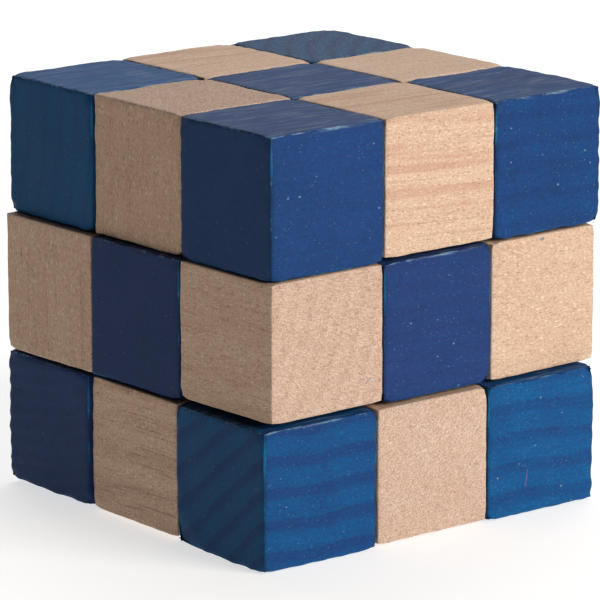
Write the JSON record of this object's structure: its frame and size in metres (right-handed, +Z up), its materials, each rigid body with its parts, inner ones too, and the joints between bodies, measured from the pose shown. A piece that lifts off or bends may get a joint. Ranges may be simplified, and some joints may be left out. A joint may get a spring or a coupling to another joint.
{
  "type": "snake cube puzzle",
  "caption": "Cube of blue-stained and plain wooden cubelets strung on one elastic cord; neighbours pull apart and twist, so that the chain unfolds and folds back.",
  "frame": {"origin": "at the bottom, in the middle of the whole cube seen from above", "axes": "+Z up through the layers; X and Y square to the sides of the middle layer"},
  "size_m": [0.0624, 0.0618, 0.0601],
  "materials": {
    "stained_wood": "blue stain on softwood, satin, worn lighter along the edges",
    "natural_wood": "bare fine-grained hardwood, sanded matt",
    "elastic_cord": "braided sheath over a rubber core",
    "plug_wood": "bare dowel, end grain showing"
  },
  "bodies": {
    "link_01": {"cubelet_01": "stained_wood", "cord_01_02": "elastic_cord", "first_plug": "plug_wood"},
    "link_02": {"cubelet_02": "natural_wood", "cord_02_03": "elastic_cord"},
    "link_03": {"cubelet_03": "stained_wood", "cord_03_04": "elastic_cord"},
    "link_04": {"cubelet_04": "natural_wood", "cord_04_05": "elastic_cord"},
    "link_05": {"cubelet_05": "stained_wood", "cord_05_06": "elastic_cord"},
    "link_06": {"cubelet_06": "natural_wood", "cord_06_07": "elastic_cord"},
    "link_07": {"cubelet_07": "stained_wood", "cord_07_08": "elastic_cord"},
    "link_08": {"cubelet_08": "natural_wood", "cord_08_09": "elastic_cord"},
    "link_09": {"cubelet_09": "stained_wood", "cord_bend_09": "elastic_cord"},
    "strand_09": {"cord_09_10": "elastic_cord"},
    "link_10": {"cubelet_10": "natural_wood", "cord_10_11": "elastic_cord"},
    "link_11": {"cubelet_11": "stained_wood", "cord_11_12": "elastic_cord"},
    "link_12": {"cubelet_12": "natural_wood", "cord_12_13": "elastic_cord"},
    "link_13": {"cubelet_13": "stained_wood", "cord_13_14": "elastic_cord"},
    "link_14": {"cubelet_14": "natural_wood", "cord_14_15": "elastic_cord"},
    "link_15": {"cubelet_15": "stained_wood", "cord_15_16": "elastic_cord"},
    "link_16": {"cubelet_16": "natural_wood", "cord_16_17": "elastic_cord"},
    "link_17": {"cubelet_17": "stained_wood", "cord_17_18": "elastic_cord"},
    "link_18": {"cubelet_18": "natural_wood", "cord_bend_18": "elastic_cord"},
    "strand_18": {"cord_18_19": "elastic_cord"},
    "link_19": {"cubelet_19": "stained_wood", "cord_19_20": "elastic_cord"},
    "link_20": {"cubelet_20": "natural_wood", "cord_20_21": "elastic_cord"},
    "link_21": {"cubelet_21": "stained_wood", "cord_bend_21": "elastic_cord"},
    "strand_21": {"cord_21_22": "elastic_cord"},
    "link_22": {"cubelet_22": "natural_wood", "cord_22_23": "elastic_cord"},
    "link_23": {"cubelet_23": "stained_wood", "cord_23_24": "elastic_cord"},
    "link_24": {"cubelet_24": "natural_wood", "cord_bend_24": "elastic_cord"},
    "strand_24": {"cord_24_25": "elastic_cord"},
    "link_25": {"cubelet_25": "stained_wood", "cord_25_26": "elastic_cord"},
    "link_26": {"cubelet_26": "natural_wood", "cord_26_27": "elastic_cord"},
    "link_27": {"cubelet_27": "stained_wood", "cord_end": "elastic_cord", "last_plug": "plug_wood"}
  },
  "joints": [
    {"name": "pull_01_02", "type": "slide", "parent": "link_01", "child": "link_02", "axis": [0.0262, 0.9997, 0], "range_m": [0, 0.012], "stiffness_N_per_m": 15, "springref_m": -0.01},
    {"name": "pull_02_03", "type": "slide", "parent": "link_02", "child": "link_03", "axis": [0.0262, 0.9997, 0], "range_m": [0, 0.012], "stiffness_N_per_m": 15, "springref_m": -0.01},
    {"name": "pull_03_04", "type": "slide", "parent": "link_03", "child": "link_04", "axis": [-0.9997, 0.0262, 0], "range_m": [0, 0.012], "stiffness_N_per_m": 15, "springref_m": -0.01},
    {"name": "pull_04_05", "type": "slide", "parent": "link_04", "child": "link_05", "axis": [-0.0262, -0.9997, 0], "range_m": [0, 0.012], "stiffness_N_per_m": 15, "springref_m": -0.01},
    {"name": "pull_05_06", "type": "slide", "parent": "link_05", "child": "link_06", "axis": [-0.0262, -0.9997, 0], "range_m": [0, 0.012], "stiffness_N_per_m": 15, "springref_m": -0.01},
    {"name": "pull_06_07", "type": "slide", "parent": "link_06", "child": "link_07", "axis": [-0.9997, 0.0262, 0], "range_m": [0, 0.012], "stiffness_N_per_m": 15, "springref_m": -0.01},
    {"name": "pull_07_08", "type": "slide", "parent": "link_07", "child": "link_08", "axis": [0.0262, 0.9997, 0], "range_m": [0, 0.012], "stiffness_N_per_m": 15, "springref_m": -0.01},
    {"name": "pull_08_09", "type": "slide", "parent": "link_08", "child": "link_09", "axis": [0.0262, 0.9997, 0], "range_m": [0, 0.012], "stiffness_N_per_m": 15, "springref_m": -0.01},
    {"name": "twist_09_10", "type": "hinge", "parent": "link_09", "child": "strand_09", "pos_m": [-0.02, 0.02025, 0.0099], "axis": [0, 0, 1], "continuous": true},
    {"name": "pull_09_10", "type": "slide", "parent": "strand_09", "child": "link_10", "axis": [0, 0, 1], "range_m": [0, 0.012], "stiffness_N_per_m": 15, "springref_m": -0.01},
    {"name": "pull_10_11", "type": "slide", "parent": "link_10", "child": "link_11", "axis": [0, -1, 0], "range_m": [0, 0.012], "stiffness_N_per_m": 15, "springref_m": -0.01},
    {"name": "pull_11_12", "type": "slide", "parent": "link_11", "child": "link_12", "axis": [0, -1, 0], "range_m": [0, 0.012], "stiffness_N_per_m": 15, "springref_m": -0.01},
    {"name": "pull_12_13", "type": "slide", "parent": "link_12", "child": "link_13", "axis": [1, 0, 0], "range_m": [0, 0.012], "stiffness_N_per_m": 15, "springref_m": -0.01},
    {"name": "pull_13_14", "type": "slide", "parent": "link_13", "child": "link_14", "axis": [0, 1, 0], "range_m": [0, 0.012], "stiffness_N_per_m": 15, "springref_m": -0.01},
    {"name": "pull_14_15", "type": "slide", "parent": "link_14", "child": "link_15", "axis": [0, 1, 0], "range_m": [0, 0.012], "stiffness_N_per_m": 15, "springref_m": -0.01},
    {"name": "pull_15_16", "type": "slide", "parent": "link_15", "child": "link_16", "axis": [1, 0, 0], "range_m": [0, 0.012], "stiffness_N_per_m": 15, "springref_m": -0.01},
    {"name": "pull_16_17", "type": "slide", "parent": "link_16", "child": "link_17", "axis": [0, -1, 0], "range_m": [0, 0.012], "stiffness_N_per_m": 15, "springref_m": -0.01},
    {"name": "pull_17_18", "type": "slide", "parent": "link_17", "child": "link_18", "axis": [0, -1, 0], "range_m": [0, 0.012], "stiffness_N_per_m": 15, "springref_m": -0.01},
    {"name": "twist_18_19", "type": "hinge", "parent": "link_18", "child": "strand_18", "pos_m": [0.0201, -0.01945, 0.03005], "axis": [0, 0, 1], "continuous": true},
    {"name": "pull_18_19", "type": "slide", "parent": "strand_18", "child": "link_19", "axis": [0, 0, 1], "range_m": [0, 0.012], "stiffness_N_per_m": 15, "springref_m": -0.01},
    {"name": "pull_19_20", "type": "slide", "parent": "link_19", "child": "link_20", "axis": [0.0148, 0.9999, 0], "range_m": [0, 0.012], "stiffness_N_per_m": 15, "springref_m": -0.01},
    {"name": "pull_20_21", "type": "slide", "parent": "link_20", "child": "link_21", "axis": [0.0148, 0.9999, 0], "range_m": [0, 0.012], "stiffness_N_per_m": 15, "springref_m": -0.01},
    {"name": "twist_21_22", "type": "hinge", "parent": "link_21", "child": "strand_21", "pos_m": [0.02115, 0.02029, 0.0502], "axis": [-0.9999, 0.0148, 0], "range_deg": [0, 90]},
    {"name": "pull_21_22", "type": "slide", "parent": "strand_21", "child": "link_22", "axis": [-0.9999, 0.0148, 0], "range_m": [0, 0.012], "stiffness_N_per_m": 15, "springref_m": -0.01},
    {"name": "pull_22_23", "type": "slide", "parent": "link_22", "child": "link_23", "axis": [-0.0148, -0.9999, 0], "range_m": [0, 0.012], "stiffness_N_per_m": 15, "springref_m": -0.01},
    {"name": "pull_23_24", "type": "slide", "parent": "link_23", "child": "link_24", "axis": [-0.0148, -0.9999, 0], "range_m": [0, 0.012], "stiffness_N_per_m": 15, "springref_m": -0.01},
    {"name": "twist_24_25", "type": "hinge", "parent": "link_24", "child": "strand_24", "pos_m": [0.00056, -0.0194, 0.0502], "axis": [-0.9999, 0.0148, 0], "range_deg": [-90, 0]},
    {"name": "pull_24_25", "type": "slide", "parent": "strand_24", "child": "link_25", "axis": [-0.9999, 0.0148, 0], "range_m": [0, 0.012], "stiffness_N_per_m": 15, "springref_m": -0.01},
    {"name": "pull_25_26", "type": "slide", "parent": "link_25", "child": "link_26", "axis": [0.0148, 0.9999, 0], "range_m": [0, 0.012], "stiffness_N_per_m": 15, "springref_m": -0.01},
    {"name": "pull_26_27", "type": "slide", "parent": "link_26", "child": "link_27", "axis": [0.0148, 0.9999, 0], "range_m": [0, 0.012], "stiffness_N_per_m": 15, "springref_m": -0.01}
  ],
  "couplings": [
    {"joint": "twist_21_22", "follows": "pull_18_19", "rad_per_m": 130.9},
    {"joint": "twist_24_25", "follows": "pull_18_19", "rad_per_m": -130.9}
  ]
}
